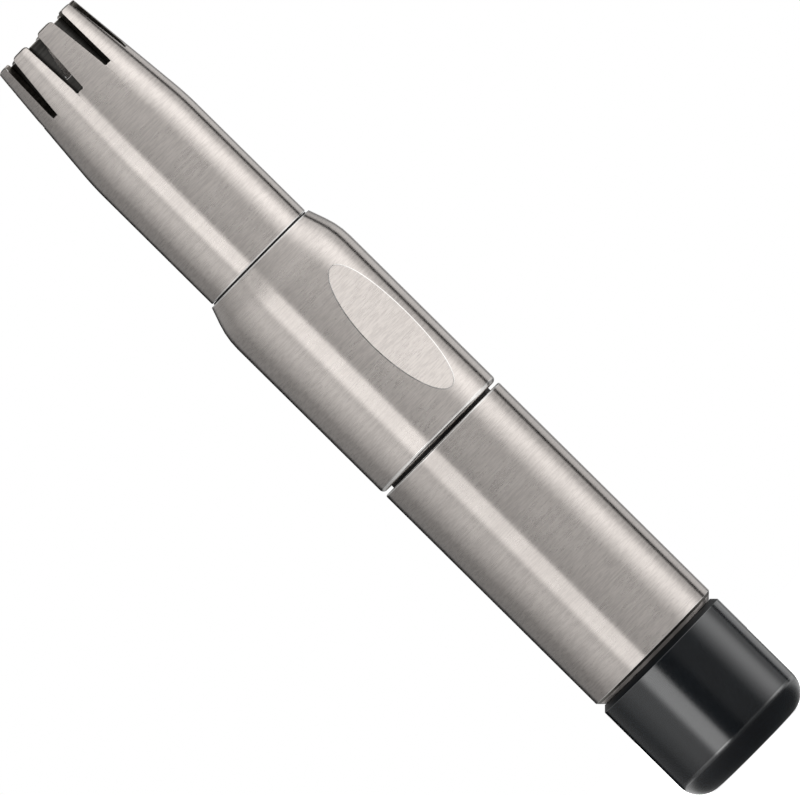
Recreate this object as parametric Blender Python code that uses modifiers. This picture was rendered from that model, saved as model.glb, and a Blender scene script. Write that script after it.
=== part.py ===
"""Twist-type nose hair trimmer, in metres, +Z up.

The trimmer stands on the flat end of its cap, with the origin at the centre of that face and
the cutter's tip at the top. The thumb rest faces -Y. Every piece is turned about the Z axis,
which is also the axis of every joint.
"""

import math

import bmesh
import bpy
from mathutils import Matrix

MM = 0.001

# Outside stations along the axis, from the cap's end face up to the tip.
CAP_TOP_Z = 10.97 * MM
SLEEVE_BASE_Z = 11.02 * MM
SLEEVE_TOP_Z = 34.94 * MM
CASING_BASE_Z = 35.20 * MM
SHOULDER_Z = 52.66 * MM
CASING_TOP_Z = 55.20 * MM
HEAD_BASE_Z = 55.38 * MM
TAPER_Z = 68.60 * MM
TIP_Z = 80.20 * MM

# Outside radii, roundings and chamfers.
BODY_R = 6.35 * MM
SHOULDER_TOP_R = 5.45 * MM
SHOULDER_ROUND = 7.0 * MM
HEAD_R = 5.23 * MM
TIP_R = 4.18 * MM
CAP_END_ROUND = 2.20 * MM
CAP_RIM_CHAMFER = 0.43 * MM
SLEEVE_CHAMFER = 0.50 * MM
CASING_LOWER_ROUND = 0.40 * MM
EDGE_ROUND = 0.22 * MM
FINE_EDGE_ROUND = 0.15 * MM
LEAD_IN_ROUND = 0.35 * MM

# Thumb rest: a shallow bite of a large cylinder that lies across the casing.
THUMB_Z = 44.05 * MM
THUMB_DEPTH = 0.42 * MM
THUMB_CUTTER_R = 53.5 * MM

# Slots of the fixed head and of the turning rotor.
HEAD_SLOTS = 9
HEAD_SLOT_DEPTH = 5.62 * MM
HEAD_SLOT_TOP_WIDTH = 1.30 * MM
HEAD_SLOT_BOTTOM_WIDTH = 0.67 * MM
ROTOR_SLOTS = 4
ROTOR_SLOT_DEPTH = 3.9 * MM
ROTOR_SLOT_WIDTH = 1.2 * MM
ROTOR_SLOT_SKEW = math.radians(14)
ROTOR_SLOT_START = math.radians(-20)
SLOT_CUTTER_INNER_R = 2.4 * MM
SLOT_CUTTER_OUTER_R = 6.0 * MM

# Fits between pieces.
FIT = 0.03 * MM
RUNNING_FIT = 0.05 * MM
FACE_GAP = 0.05 * MM

# How far a cutter reaches past the faces that it opens, and past the head's end face.
CUTTER_REACH = 0.20 * MM
SLOT_OVERSHOOT = 0.0005 * MM

# Walls and bores.
SLEEVE_BORE_R = 5.50 * MM
CASING_BORE_R = 5.00 * MM
CASING_COUNTERBORE_DEPTH = 1.10 * MM
HEAD_WALL = 0.55 * MM
HEAD_BORE_R = 4.36 * MM
CAP_BORE_R = 5.35 * MM
CAP_FLOOR = 1.25 * MM

# Drive shaft.
SHAFT_R = 1.50 * MM
SHAFT_BASE_Z = 20.30 * MM
SHAFT_TOP_Z = 70.80 * MM
SHAFT_CHAMFER = 0.25 * MM
COLLAR_R = 2.40 * MM
COLLAR_BASE_Z = 57.65 * MM
COLLAR_HEIGHT = 0.75 * MM
CLIP_GROOVE_R = 1.15 * MM
SHAFT_FLAT_DEPTH = 0.20 * MM
SHAFT_FLAT_LENGTH = 3.90 * MM

# Bearings between the casing and the shaft.
THRUST_WASHER_Z = 34.60 * MM
THRUST_WASHER_HEIGHT = 0.80 * MM
THRUST_WASHER_BORE_R = 2.20 * MM
REAR_BUSHING_Z = 35.45 * MM
REAR_BUSHING_HEIGHT = 5.60 * MM
REAR_FLANGE_HEIGHT = 0.70 * MM
CLIP_RECESS_R = 3.40 * MM
CLIP_RECESS_HEIGHT = 1.50 * MM
CLIP_Z = 36.25 * MM
CLIP_R = 2.60 * MM
CLIP_HEIGHT = 0.35 * MM
SHIM_Z = 36.65 * MM
SHIM_HEIGHT = 0.25 * MM
SHIM_R = 3.00 * MM
FRONT_BUSHING_Z = 50.20 * MM
FRONT_BUSHING_TOP_Z = 57.55 * MM
FRONT_FLANGE_HEIGHT = 0.75 * MM
FRONT_FLANGE_R = 3.90 * MM

# Spigot that carries the head.
SPIGOT_BASE_Z = 51.00 * MM
SPIGOT_SHOULDER_Z = 55.33 * MM
SPIGOT_TOP_Z = 61.20 * MM
SPIGOT_BORE_R = 3.00 * MM
SPIGOT_FLANGE_R = 5.14 * MM
SPIGOT_SEAT_DEPTH = 0.60 * MM
SPIGOT_CLEARANCE = 0.04 * MM
HEAD_GROOVE_Z = 58.20 * MM
HEAD_GROOVE_HEIGHT = 0.90 * MM
HEAD_GROOVE_R = 3.55 * MM
KEY_PIN_Z = 56.40 * MM
KEY_PIN_R = 0.40 * MM
KEY_PIN_REACH = 4.72 * MM
KEY_NOTCH_HEIGHT = 1.65 * MM

# Rotor.
ROTOR_TOP_Z = 79.87 * MM
ROTOR_BASE_Z = 66.50 * MM
ROTOR_R = 4.26 * MM
ROTOR_WALL = 0.42 * MM
ROTOR_BORE_R = 3.80 * MM
HUB_BASE_Z = 64.70 * MM
HUB_TOP_Z = 71.00 * MM
HUB_R = 3.75 * MM
DRIVE_PIN_Z = 67.50 * MM
DRIVE_PIN_R = 0.50 * MM
DRIVE_PIN_LENGTH = 6.00 * MM
DRIVE_SLOT_TOP_Z = 68.55 * MM
DRIVE_SLOT_LENGTH = 6.30 * MM

# Spring that presses the rotor into the head.
SPRING_SEAT_Z = 58.45 * MM
SPRING_SEAT_HEIGHT = 0.40 * MM
SPRING_SEAT_R = 2.90 * MM
SPRING_TOP_Z = 64.65 * MM
SPRING_MEAN_R = 2.10 * MM
SPRING_WIRE_R = 0.25 * MM
SPRING_TURNS = 5
SPRING_END_PITCH = 0.56 * MM
SPRING_POINTS_PER_TURN = 12
SPRING_WIRE_RESOLUTION = 2

# Grip.
CORE_BASE_Z = 15.30 * MM
CORE_TOP_Z = 34.55 * MM
CORE_WAIST_R = 4.60 * MM
CORE_LAND = 3.00 * MM
CORE_TAPPED_TOP_Z = 20.00 * MM
CORE_TAPPED_R = 1.10 * MM
SET_SCREW_Z = 26.00 * MM
SET_SCREW_R = 0.97 * MM
SET_SCREW_OUTER_R = 4.30 * MM
SET_SCREW_SOCKET_R = 0.52 * MM
SET_SCREW_SOCKET_DEPTH = 0.90 * MM
SET_SCREW_SOCKET_SIDES = 6

# Tail plug, its screw and its seal.
PLUG_BASE_Z = 6.80 * MM
PLUG_SHOULDER_Z = 11.35 * MM
PLUG_TOP_Z = 15.00 * MM
PLUG_SPIGOT_R = 5.25 * MM
PLUG_HOLE_R = 1.30 * MM
PLUG_COUNTERBORE_R = 2.25 * MM
PLUG_COUNTERBORE_DEPTH = 2.20 * MM
CAP_GROOVE_Z = 8.30 * MM
CAP_GROOVE_HEIGHT = 1.10 * MM
CAP_GROOVE_R = 4.45 * MM
TAIL_SCREW_TOP_Z = 19.00 * MM
TAIL_SCREW_R = 1.05 * MM
TAIL_SCREW_HEAD_R = 2.10 * MM
TAIL_SCREW_HEAD_HEIGHT = 1.45 * MM
TAIL_SCREW_SLOT_WIDTH = 0.50 * MM
TAIL_SCREW_SLOT_DEPTH = 0.60 * MM

# Facets round each kind of piece. All divide by 4, so the outside box is centred.
BODY_SEGMENTS = 40
HEAD_SEGMENTS = 36
FITTED_SEGMENTS = 32
SHAFT_SEGMENTS = 24
PIN_SEGMENTS = 16
RING_SIDES = 8
WIDE_ARC = 1.0 * MM
WIDE_ARC_STEPS = 4
EDGE_ARC_STEPS = 2
THUMB_CUTTER_SEGMENTS = 160
MERGE_DISTANCE = 0.001 * MM
SHARP_ANGLE = math.radians(30)

TAPER_SLOPE = (HEAD_R - TIP_R) / (TIP_Z - TAPER_Z)
TIP_BORE_R = TIP_R - HEAD_WALL


def clear_scene():
    for obj in list(bpy.data.objects):
        bpy.data.objects.remove(obj, do_unlink=True)


def new_collection(name):
    collection = bpy.data.collections.new(name)
    bpy.context.scene.collection.children.link(collection)
    return collection


# ---------------------------------------------------------------- materials


def surface(name, colour, roughness, metallic):
    material = bpy.data.materials.new(name)
    material.use_nodes = True
    shader = material.node_tree.nodes["Principled BSDF"]
    shader.inputs["Base Color"].default_value = (*colour, 1.0)
    shader.inputs["Roughness"].default_value = roughness
    shader.inputs["Metallic"].default_value = metallic
    return material


def brushed_steel():
    return surface("brushed_steel", (0.60, 0.58, 0.56), 0.32, 1.0)


def blade_steel():
    return surface("blade_steel", (0.30, 0.29, 0.28), 0.30, 1.0)


def bright_steel():
    return surface("bright_steel", (0.70, 0.70, 0.70), 0.18, 1.0)


def bronze():
    return surface("bronze", (0.55, 0.36, 0.16), 0.40, 1.0)


def aluminium():
    return surface("aluminium", (0.66, 0.67, 0.68), 0.38, 1.0)


def blue_black_plastic():
    return surface("blue_black_plastic", (0.022, 0.026, 0.034), 0.28, 0.0)


def black_nylon():
    return surface("black_nylon", (0.015, 0.015, 0.016), 0.55, 0.0)


def white_acetal():
    return surface("white_acetal", (0.80, 0.79, 0.75), 0.45, 0.0)


def black_rubber():
    return surface("black_rubber", (0.012, 0.012, 0.012), 0.75, 0.0)


# ---------------------------------------------------------------- shapes


def rounded(corners):
    """An outline through (r, z, rounding) corners, each rounding made of short chords."""
    outline = []
    for index, (r, z, rounding) in enumerate(corners):
        if not rounding:
            outline.append((r, z))
            continue
        before = corners[index - 1]
        after = corners[(index + 1) % len(corners)]
        to_before = math.atan2(before[1] - z, before[0] - r)
        to_after = math.atan2(after[1] - z, after[0] - r)
        opening = math.remainder(to_after - to_before, 2 * math.pi)
        to_centre = to_before + opening / 2
        reach = rounding / math.sin(abs(opening) / 2)
        centre_r = r + reach * math.cos(to_centre)
        centre_z = z + reach * math.sin(to_centre)
        turn = math.copysign(math.pi - abs(opening), opening)
        start = to_centre + math.pi + turn / 2
        steps = WIDE_ARC_STEPS if rounding > WIDE_ARC else EDGE_ARC_STEPS
        for step in range(steps + 1):
            angle = start - turn * step / steps
            outline.append((centre_r + rounding * math.cos(angle), centre_z + rounding * math.sin(angle)))
    return outline


def turned(name, corners, segments):
    """A mesh turned about Z from an outline that runs down its outer side.

    An outline whose ends are both on the axis is a solid one; any other is closed into a ring.
    """
    outline = rounded(corners)
    mesh = bpy.data.meshes.new(name)
    edges = [(i, i + 1) for i in range(len(outline) - 1)]
    if outline[0][0] > 0:
        edges.append((len(outline) - 1, 0))
    mesh.from_pydata([(r, 0.0, z) for r, z in outline], edges, [])
    profile = bpy.data.objects.new(name, mesh)
    bpy.context.scene.collection.objects.link(profile)
    screw = profile.modifiers.new("turn", "SCREW")
    screw.steps = segments
    screw.render_steps = segments
    screw.use_merge_vertices = True
    screw.merge_threshold = MERGE_DISTANCE
    return settled(profile)


def settled(obj):
    """The evaluated shape of an object as a plain mesh object, welded and shaded."""
    graph = bpy.context.evaluated_depsgraph_get()
    mesh = bpy.data.meshes.new_from_object(obj.evaluated_get(graph))
    welded = bmesh.new()
    welded.from_mesh(mesh)
    bmesh.ops.remove_doubles(welded, verts=welded.verts, dist=MERGE_DISTANCE)
    welded.to_mesh(mesh)
    welded.free()
    mesh.shade_smooth()
    mesh.set_sharp_from_angle(angle=SHARP_ANGLE)
    name = obj.name
    bpy.data.objects.remove(obj, do_unlink=True)
    mesh.name = name
    return bpy.data.objects.new(name, mesh)


def ring(inner_r, outer_r, height, edge=0.0):
    """The outline of a washer that starts at its own base, with its outer edges rounded."""
    return [
        (inner_r, height, 0),
        (outer_r, height, edge),
        (outer_r, 0.0, edge),
        (inner_r, 0.0, 0),
    ]


def torus(name, mean_r, section_r, segments):
    """An O-ring about Z, centred on its own origin, from a round profile."""
    sides = range(RING_SIDES)
    turns = [-2 * math.pi * side / RING_SIDES for side in sides]
    profile = [(mean_r + section_r * math.cos(a), section_r * math.sin(a), 0) for a in turns]
    return turned(name, profile, segments)


def box(name, size, centre, taper=1.0):
    """A box; taper narrows its lower end along X."""
    shape = bmesh.new()
    bmesh.ops.create_cube(shape, size=1.0)
    for vertex in shape.verts:
        if vertex.co.z < 0:
            vertex.co.x *= taper
    bmesh.ops.scale(shape, vec=size, verts=shape.verts)
    bmesh.ops.translate(shape, vec=centre, verts=shape.verts)
    mesh = bpy.data.meshes.new(name)
    shape.to_mesh(mesh)
    shape.free()
    return bpy.data.objects.new(name, mesh)


def rod(name, radius, length, axis, segments=SHAFT_SEGMENTS):
    """A cylinder centred on its own origin, along X, Y or Z."""
    turn = {
        "X": Matrix.Rotation(math.pi / 2, 4, "Y"),
        "Y": Matrix.Rotation(math.pi / 2, 4, "X"),
        "Z": Matrix.Identity(4),
    }[axis]
    shape = bmesh.new()
    bmesh.ops.create_cone(
        shape,
        cap_ends=True,
        segments=segments,
        radius1=radius,
        radius2=radius,
        depth=length,
        matrix=turn,
    )
    mesh = bpy.data.meshes.new(name)
    shape.to_mesh(mesh)
    shape.free()
    mesh.shade_smooth()
    mesh.set_sharp_from_angle(angle=SHARP_ANGLE)
    return bpy.data.objects.new(name, mesh)


def ring_of_slots(name, count, size, taper, skew, start, centre_z):
    """Slot-shaped boxes round the Z axis, joined in one cutter.

    size is the width and height of each. start is how far the first one is turned from -Y.
    """
    width, height = size
    length = SLOT_CUTTER_OUTER_R - SLOT_CUTTER_INNER_R
    middle_r = (SLOT_CUTTER_INNER_R + SLOT_CUTTER_OUTER_R) / 2
    shape = bmesh.new()
    for index in range(count):
        made = bmesh.ops.create_cube(shape, size=1.0)["verts"]
        for vertex in made:
            if vertex.co.z < 0:
                vertex.co.x *= taper
        bmesh.ops.scale(shape, vec=(width, length, height), verts=made)
        bmesh.ops.rotate(shape, cent=(0, 0, 0), matrix=Matrix.Rotation(skew, 3, "Y"), verts=made)
        bmesh.ops.translate(shape, vec=(0, -middle_r, centre_z), verts=made)
        around = Matrix.Rotation(start + 2 * math.pi * index / count, 3, "Z")
        bmesh.ops.rotate(shape, cent=(0, 0, 0), matrix=around, verts=made)
    mesh = bpy.data.meshes.new(name)
    shape.to_mesh(mesh)
    shape.free()
    return bpy.data.objects.new(name, mesh)


def cut(piece, cutter, cutters):
    """Takes a cutter, placed in the piece's own coordinates, out of the piece."""
    cutter.parent = piece
    cutter.hide_render = True
    cutter.display_type = "WIRE"
    cutters.objects.link(cutter)
    modifier = piece.modifiers.new(cutter.name, "BOOLEAN")
    modifier.operation = "DIFFERENCE"
    modifier.object = cutter


# ---------------------------------------------------------------- cap


def make_protective_cap():
    bore_round = CAP_END_ROUND - (BODY_R - CAP_BORE_R)
    corners = [
        (0.0, CAP_FLOOR, 0),
        (CAP_BORE_R, CAP_FLOOR, bore_round),
        (CAP_BORE_R, CAP_TOP_Z, 0),
        (BODY_R - CAP_RIM_CHAMFER, CAP_TOP_Z, 0),
        (BODY_R, CAP_TOP_Z - CAP_RIM_CHAMFER, 0),
        (BODY_R, 0.0, CAP_END_ROUND),
        (0.0, 0.0, 0),
    ]
    return turned("protective_cap", corners, BODY_SEGMENTS)


# ---------------------------------------------------------------- grip


def make_grip_sleeve():
    height = SLEEVE_TOP_Z - SLEEVE_BASE_Z
    corners = [
        (SLEEVE_BORE_R, height, 0),
        (BODY_R, height, EDGE_ROUND),
        (BODY_R, SLEEVE_CHAMFER, 0),
        (BODY_R - SLEEVE_CHAMFER, 0.0, 0),
        (SLEEVE_BORE_R, 0.0, 0),
    ]
    piece = turned("grip_sleeve", corners, BODY_SEGMENTS)
    piece.location.z = SLEEVE_BASE_Z
    return piece


def make_grip_core(cutters):
    height = CORE_TOP_Z - CORE_BASE_Z
    step = CORE_TAPPED_TOP_Z - CORE_BASE_Z
    outer_r = SLEEVE_BORE_R - FIT
    shaft_bore_r = SHAFT_R + FIT
    corners = [
        (shaft_bore_r, height, 0),
        (outer_r, height, 0),
        (outer_r, height - CORE_LAND, 0),
        (CORE_WAIST_R, height - CORE_LAND, 0),
        (CORE_WAIST_R, CORE_LAND, 0),
        (outer_r, CORE_LAND, 0),
        (outer_r, 0.0, 0),
        (CORE_TAPPED_R, 0.0, 0),
        (CORE_TAPPED_R, step, 0),
        (shaft_bore_r, step, 0),
    ]
    piece = turned("grip_core", corners, FITTED_SEGMENTS)
    piece.location.z = CORE_BASE_Z
    hole = rod("set_screw_hole", SET_SCREW_R + FIT, 2 * CORE_WAIST_R, "X")
    hole.location = (CORE_WAIST_R, 0.0, SET_SCREW_Z - CORE_BASE_Z)
    cut(piece, hole, cutters)
    return piece


def make_drive_shaft(cutters):
    height = SHAFT_TOP_Z - SHAFT_BASE_Z
    collar = COLLAR_BASE_Z - SHAFT_BASE_Z
    groove = CLIP_Z - FACE_GAP - SHAFT_BASE_Z
    groove_top = groove + CLIP_HEIGHT + 2 * FACE_GAP
    corners = [
        (0.0, height, 0),
        (SHAFT_R - SHAFT_CHAMFER, height, 0),
        (SHAFT_R, height - SHAFT_CHAMFER, 0),
        (SHAFT_R, collar + COLLAR_HEIGHT, 0),
        (COLLAR_R, collar + COLLAR_HEIGHT, 0),
        (COLLAR_R, collar, 0),
        (SHAFT_R, collar, 0),
        (SHAFT_R, groove_top, 0),
        (CLIP_GROOVE_R, groove_top, 0),
        (CLIP_GROOVE_R, groove, 0),
        (SHAFT_R, groove, 0),
        (SHAFT_R, SHAFT_CHAMFER, 0),
        (SHAFT_R - SHAFT_CHAMFER, 0.0, 0),
        (0.0, 0.0, 0),
    ]
    piece = turned("drive_shaft", corners, SHAFT_SEGMENTS)
    piece.location.z = SHAFT_BASE_Z
    through = 2 * (SHAFT_R + CUTTER_REACH)
    hole = rod("drive_pin_hole", DRIVE_PIN_R + FIT, through, "X", PIN_SEGMENTS)
    hole.location.z = DRIVE_PIN_Z - SHAFT_BASE_Z
    cut(piece, hole, cutters)
    flat_x = SHAFT_R - SHAFT_FLAT_DEPTH + SHAFT_R / 2
    flat_z = SET_SCREW_Z - SHAFT_BASE_Z
    flat = box("shaft_flat", (SHAFT_R, 2 * SHAFT_R, SHAFT_FLAT_LENGTH), (flat_x, 0.0, flat_z))
    cut(piece, flat, cutters)
    return piece


def make_grip_set_screw(cutters):
    start = SHAFT_R - SHAFT_FLAT_DEPTH + FACE_GAP
    length = SET_SCREW_OUTER_R - start
    piece = rod("grip_set_screw", SET_SCREW_R, length, "X")
    piece.location = (start + length / 2, 0.0, SET_SCREW_Z)
    reach = 2 * SET_SCREW_SOCKET_DEPTH
    socket = rod("set_screw_socket", SET_SCREW_SOCKET_R, reach, "X", SET_SCREW_SOCKET_SIDES)
    socket.location.x = length / 2
    cut(piece, socket, cutters)
    return piece


def make_retaining_clip(cutters):
    piece = turned("retaining_clip", ring(CLIP_GROOVE_R + FIT, CLIP_R, CLIP_HEIGHT), SHAFT_SEGMENTS)
    piece.location.z = CLIP_Z
    mouth_size = (2 * CLIP_GROOVE_R, 2 * CLIP_R, 2 * (CLIP_HEIGHT + CUTTER_REACH))
    mouth = box("clip_mouth", mouth_size, (0.0, -CLIP_R, 0.0))
    cut(piece, mouth, cutters)
    return piece


def make_shim_washer():
    outline = ring(SHAFT_R + RUNNING_FIT, SHIM_R, SHIM_HEIGHT)
    piece = turned("shim_washer", outline, SHAFT_SEGMENTS)
    piece.location.z = SHIM_Z
    return piece


def make_tail_plug():
    height = PLUG_TOP_Z - PLUG_BASE_Z
    shoulder = PLUG_SHOULDER_Z - PLUG_BASE_Z
    groove = CAP_GROOVE_Z - PLUG_BASE_Z
    groove_top = groove + CAP_GROOVE_HEIGHT
    corners = [
        (PLUG_HOLE_R, height, 0),
        (SLEEVE_BORE_R - FIT, height, 0),
        (SLEEVE_BORE_R - FIT, shoulder, 0),
        (PLUG_SPIGOT_R, shoulder, 0),
        (PLUG_SPIGOT_R, groove_top, 0),
        (CAP_GROOVE_R, groove_top, 0),
        (CAP_GROOVE_R, groove, 0),
        (PLUG_SPIGOT_R, groove, 0),
        (PLUG_SPIGOT_R, 0.0, LEAD_IN_ROUND),
        (PLUG_COUNTERBORE_R, 0.0, 0),
        (PLUG_COUNTERBORE_R, PLUG_COUNTERBORE_DEPTH, 0),
        (PLUG_HOLE_R, PLUG_COUNTERBORE_DEPTH, 0),
    ]
    piece = turned("tail_plug", corners, FITTED_SEGMENTS)
    piece.location.z = PLUG_BASE_Z
    return piece


def make_tail_screw(cutters):
    seat_z = PLUG_BASE_Z + PLUG_COUNTERBORE_DEPTH - FACE_GAP
    base_z = seat_z - TAIL_SCREW_HEAD_HEIGHT
    height = TAIL_SCREW_TOP_Z - base_z
    corners = [
        (0.0, height, 0),
        (TAIL_SCREW_R, height, 0),
        (TAIL_SCREW_R, TAIL_SCREW_HEAD_HEIGHT, 0),
        (TAIL_SCREW_HEAD_R, TAIL_SCREW_HEAD_HEIGHT, 0),
        (TAIL_SCREW_HEAD_R, 0.0, LEAD_IN_ROUND),
        (0.0, 0.0, 0),
    ]
    piece = turned("tail_screw", corners, SHAFT_SEGMENTS)
    piece.location.z = base_z
    across = 2 * (TAIL_SCREW_HEAD_R + CUTTER_REACH)
    slot_size = (across, TAIL_SCREW_SLOT_WIDTH, 2 * TAIL_SCREW_SLOT_DEPTH)
    cut(piece, box("tail_screw_slot", slot_size, (0.0, 0.0, 0.0)), cutters)
    return piece


def make_cap_o_ring():
    section_r = (CAP_BORE_R - CAP_GROOVE_R) / 2 - FIT
    mean_r = (CAP_BORE_R + CAP_GROOVE_R) / 2
    piece = torus("cap_o_ring", mean_r, section_r, SHAFT_SEGMENTS)
    piece.location.z = CAP_GROOVE_Z + CAP_GROOVE_HEIGHT / 2
    return piece


def make_drive_pin():
    piece = rod("drive_pin", DRIVE_PIN_R, DRIVE_PIN_LENGTH, "X", PIN_SEGMENTS)
    piece.location.z = DRIVE_PIN_Z
    return piece


def make_spring_seat():
    outline = ring(SHAFT_R + RUNNING_FIT, SPRING_SEAT_R, SPRING_SEAT_HEIGHT)
    piece = turned("spring_seat", outline, SHAFT_SEGMENTS)
    piece.location.z = SPRING_SEAT_Z
    return piece


def spring_height(turn, coil_height):
    """Height of the wire's centre after some turns: one close turn at each end, open between."""
    open_turns = SPRING_TURNS - 2
    open_pitch = (coil_height - 2 * SPRING_END_PITCH) / open_turns
    in_open_part = min(max(turn - 1, 0), open_turns)
    return SPRING_END_PITCH * (turn - in_open_part) + open_pitch * in_open_part


def make_rotor_spring():
    base_z = SPRING_SEAT_Z + SPRING_SEAT_HEIGHT + FACE_GAP
    coil_height = SPRING_TOP_Z - base_z - 2 * SPRING_WIRE_R
    curve = bpy.data.curves.new("rotor_spring", "CURVE")
    curve.dimensions = "3D"
    curve.bevel_depth = SPRING_WIRE_R
    curve.bevel_resolution = SPRING_WIRE_RESOLUTION
    curve.use_fill_caps = True
    spline = curve.splines.new("POLY")
    count = SPRING_TURNS * SPRING_POINTS_PER_TURN + 1
    spline.points.add(count - 1)
    for index, point in enumerate(spline.points):
        turn = index / SPRING_POINTS_PER_TURN
        angle = 2 * math.pi * turn
        height = SPRING_WIRE_R + spring_height(turn, coil_height)
        point.co = (SPRING_MEAN_R * math.cos(angle), SPRING_MEAN_R * math.sin(angle), height, 1.0)
    piece = bpy.data.objects.new("rotor_spring", curve)
    piece.location.z = base_z
    return piece


# ---------------------------------------------------------------- casing


def make_upper_casing(cutters):
    height = CASING_TOP_Z - CASING_BASE_Z
    seat_r = SPIGOT_FLANGE_R + FIT
    corners = [
        (CASING_BORE_R, height - SPIGOT_SEAT_DEPTH, 0),
        (seat_r, height - SPIGOT_SEAT_DEPTH, 0),
        (seat_r, height, 0),
        (SHOULDER_TOP_R, height, FINE_EDGE_ROUND),
        (BODY_R, SHOULDER_Z - CASING_BASE_Z, SHOULDER_ROUND),
        (BODY_R, 0.0, CASING_LOWER_ROUND),
        (SLEEVE_BORE_R, 0.0, 0),
        (SLEEVE_BORE_R, CASING_COUNTERBORE_DEPTH, 0),
        (CASING_BORE_R, CASING_COUNTERBORE_DEPTH, 0),
    ]
    piece = turned("upper_casing", corners, BODY_SEGMENTS)
    piece.location.z = CASING_BASE_Z
    width = 2 * (BODY_R + CUTTER_REACH)
    bite = rod("thumb_rest_cutter", THUMB_CUTTER_R, width, "X", THUMB_CUTTER_SEGMENTS)
    bite.location = (0.0, THUMB_DEPTH - BODY_R - THUMB_CUTTER_R, THUMB_Z - CASING_BASE_Z)
    cut(piece, bite, cutters)
    return piece


def make_head_spigot(cutters):
    height = SPIGOT_TOP_Z - SPIGOT_BASE_Z
    shoulder = SPIGOT_SHOULDER_Z - SPIGOT_BASE_Z
    groove = HEAD_GROOVE_Z - SPIGOT_BASE_Z
    groove_top = groove + HEAD_GROOVE_HEIGHT
    flange_base = CASING_TOP_Z - SPIGOT_SEAT_DEPTH + FIT - SPIGOT_BASE_Z
    outer_r = HEAD_BORE_R - SPIGOT_CLEARANCE
    corners = [
        (SPIGOT_BORE_R, height, 0),
        (outer_r, height, LEAD_IN_ROUND),
        (outer_r, groove_top, 0),
        (HEAD_GROOVE_R, groove_top, 0),
        (HEAD_GROOVE_R, groove, 0),
        (outer_r, groove, 0),
        (outer_r, shoulder, 0),
        (SPIGOT_FLANGE_R, shoulder, 0),
        (SPIGOT_FLANGE_R, flange_base, 0),
        (CASING_BORE_R - FIT, flange_base, 0),
        (CASING_BORE_R - FIT, 0.0, 0),
        (SPIGOT_BORE_R, 0.0, 0),
    ]
    piece = turned("head_spigot", corners, FITTED_SEGMENTS)
    piece.location.z = SPIGOT_BASE_Z
    through = CASING_BORE_R - SPIGOT_BORE_R + 2 * CUTTER_REACH
    hole = rod("key_pin_hole", KEY_PIN_R + FIT, through, "Y", PIN_SEGMENTS)
    hole.location = (0.0, (CASING_BORE_R + SPIGOT_BORE_R) / 2, KEY_PIN_Z - SPIGOT_BASE_Z)
    cut(piece, hole, cutters)
    return piece


def make_head_key_pin():
    start = SPIGOT_BORE_R + FACE_GAP
    length = KEY_PIN_REACH - start
    piece = rod("head_key_pin", KEY_PIN_R, length, "Y", PIN_SEGMENTS)
    piece.location = (0.0, start + length / 2, KEY_PIN_Z)
    return piece


def make_head_o_ring():
    section_r = (HEAD_BORE_R - HEAD_GROOVE_R) / 2 - FIT
    mean_r = (HEAD_BORE_R + HEAD_GROOVE_R) / 2
    piece = torus("head_o_ring", mean_r, section_r, SHAFT_SEGMENTS)
    piece.location.z = HEAD_GROOVE_Z + HEAD_GROOVE_HEIGHT / 2
    return piece


def make_front_bushing():
    height = FRONT_BUSHING_TOP_Z - FRONT_BUSHING_Z
    flange_top = FRONT_FLANGE_HEIGHT
    corners = [
        (SHAFT_R + RUNNING_FIT, height, 0),
        (SPIGOT_BORE_R - FIT, height, 0),
        (SPIGOT_BORE_R - FIT, flange_top, 0),
        (FRONT_FLANGE_R, flange_top, 0),
        (FRONT_FLANGE_R, 0.0, 0),
        (SHAFT_R + RUNNING_FIT, 0.0, 0),
    ]
    piece = turned("front_bushing", corners, FITTED_SEGMENTS)
    piece.location.z = FRONT_BUSHING_Z
    return piece


def make_rear_bushing():
    flange_r = SLEEVE_BORE_R - 2 * FIT
    corners = [
        (SHAFT_R + RUNNING_FIT, REAR_BUSHING_HEIGHT, 0),
        (CASING_BORE_R - FIT, REAR_BUSHING_HEIGHT, 0),
        (CASING_BORE_R - FIT, REAR_FLANGE_HEIGHT, 0),
        (flange_r, REAR_FLANGE_HEIGHT, 0),
        (flange_r, 0.0, 0),
        (CLIP_RECESS_R, 0.0, 0),
        (CLIP_RECESS_R, CLIP_RECESS_HEIGHT, 0),
        (SHAFT_R + RUNNING_FIT, CLIP_RECESS_HEIGHT, 0),
    ]
    piece = turned("rear_bushing", corners, FITTED_SEGMENTS)
    piece.location.z = REAR_BUSHING_Z
    return piece


def make_thrust_washer():
    outer_r = SLEEVE_BORE_R - 2 * FIT
    outline = ring(THRUST_WASHER_BORE_R, outer_r, THRUST_WASHER_HEIGHT)
    piece = turned("thrust_washer", outline, FITTED_SEGMENTS)
    piece.location.z = THRUST_WASHER_Z
    return piece


# ---------------------------------------------------------------- cutter


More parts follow.
